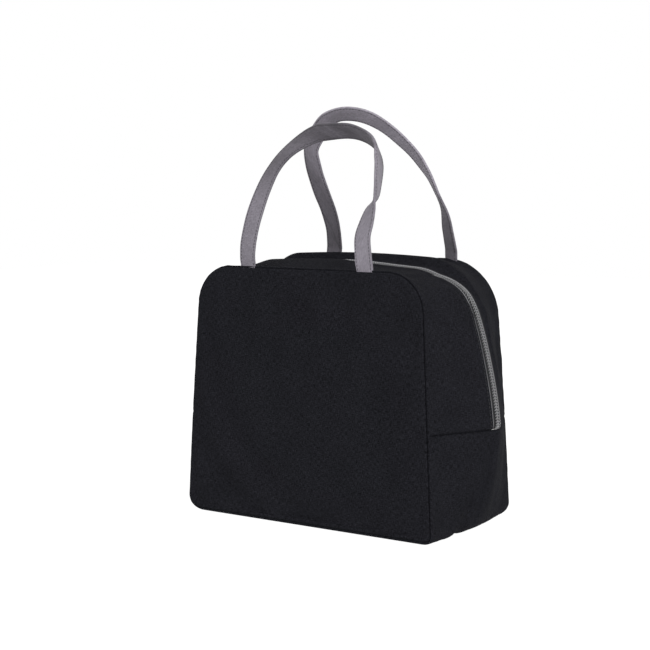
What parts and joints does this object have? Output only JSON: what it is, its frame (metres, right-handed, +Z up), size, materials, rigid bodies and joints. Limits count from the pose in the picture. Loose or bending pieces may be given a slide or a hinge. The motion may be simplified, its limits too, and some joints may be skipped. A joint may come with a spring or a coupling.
{
  "type": "insulated lunch bag",
  "caption": "Soft zipped insulated lunch bag with leaning end panels, a swelling gusset and webbing-style strap handles that flop to either side.",
  "frame": {"origin": "centre of the flat bottom, on the surface that the bag stands on", "axes": "+Z up, +X along the front panel to the right, -Y towards the front"},
  "size_m": [0.3106, 0.136, 0.359],
  "materials": {
    "outer_cloth": "woven melange canvas, near-black charcoal, matt",
    "foam": "closed-cell polyethylene foam, matt",
    "lining": "coated silver-grey wipe-clean film on cloth, satin",
    "binding": "woven seam tape, matt",
    "zip_tape": "woven polyester tape, grey, matt",
    "zip_coil": "nylon coil, grey, satin",
    "strap": "folded and stitched fabric strap, mauve-grey, matt",
    "zip_metal": "dark grey painted die casting, satin"
  },
  "bodies": {
    "root": {"base_gusset": "outer_cloth", "front_panel_lower": "outer_cloth", "back_panel_lower": "outer_cloth", "front_strip_ends": "outer_cloth", "back_strip_ends": "outer_cloth", "gusset_foam": "foam", "front_foam_lower": "foam", "back_foam_lower": "foam", "gusset_lining": "lining", "front_lining_lower": "lining", "back_lining_lower": "lining", "front_binding_lower": "binding", "back_binding_lower": "binding", "zip_tape_ends": "zip_tape", "zip_coil_ends": "zip_coil"},
    "front_flap": {"front_panel_upper": "outer_cloth", "front_strip": "outer_cloth", "front_foam_upper": "foam", "front_strip_foam": "foam", "front_lining_upper": "lining", "front_strip_lining": "lining", "front_binding_upper": "binding", "zip_tape_front": "zip_tape", "zip_coil_front": "zip_coil"},
    "back_flap": {"back_panel_upper": "outer_cloth", "back_strip": "outer_cloth", "back_foam_upper": "foam", "back_strip_foam": "foam", "back_lining_upper": "lining", "back_strip_lining": "lining", "back_binding_upper": "binding", "zip_tape_back": "zip_tape", "zip_coil_back": "zip_coil"},
    "front_strap": {"front_handle": "strap"},
    "back_strap": {"back_handle": "strap"},
    "slider": {"slider_body": "zip_metal"},
    "pull": {"pull_tab": "zip_metal"}
  },
  "joints": [
    {"name": "front_opening", "type": "hinge", "parent": "root", "child": "front_flap", "pos_m": [0, -0.06495, 0.112], "axis": [-1, 0, 0], "range_deg": [-30, 0]},
    {"name": "back_opening", "type": "hinge", "parent": "root", "child": "back_flap", "pos_m": [0, 0.06495, 0.112], "axis": [1, 0, 0], "range_deg": [-30, 0]},
    {"name": "front_handle_swing", "type": "hinge", "parent": "front_flap", "child": "front_strap", "pos_m": [0, -0.064, 0.2205], "axis": [1, 0, 0], "range_deg": [0, 195]},
    {"name": "back_handle_swing", "type": "hinge", "parent": "back_flap", "child": "back_strap", "pos_m": [0, 0.06386, 0.2255], "axis": [-1, 0, 0], "range_deg": [0, 195]},
    {"name": "zip_slide", "type": "slide", "parent": "root", "child": "slider", "axis": [0.1555, 0, 0.9878], "range_m": [0, 0.04]},
    {"name": "pull_swing", "type": "hinge", "parent": "slider", "child": "pull", "pos_m": [-0.1551, 0, 0.09935], "axis": [0, 1, 0], "range_deg": [0, 150]}
  ]
}
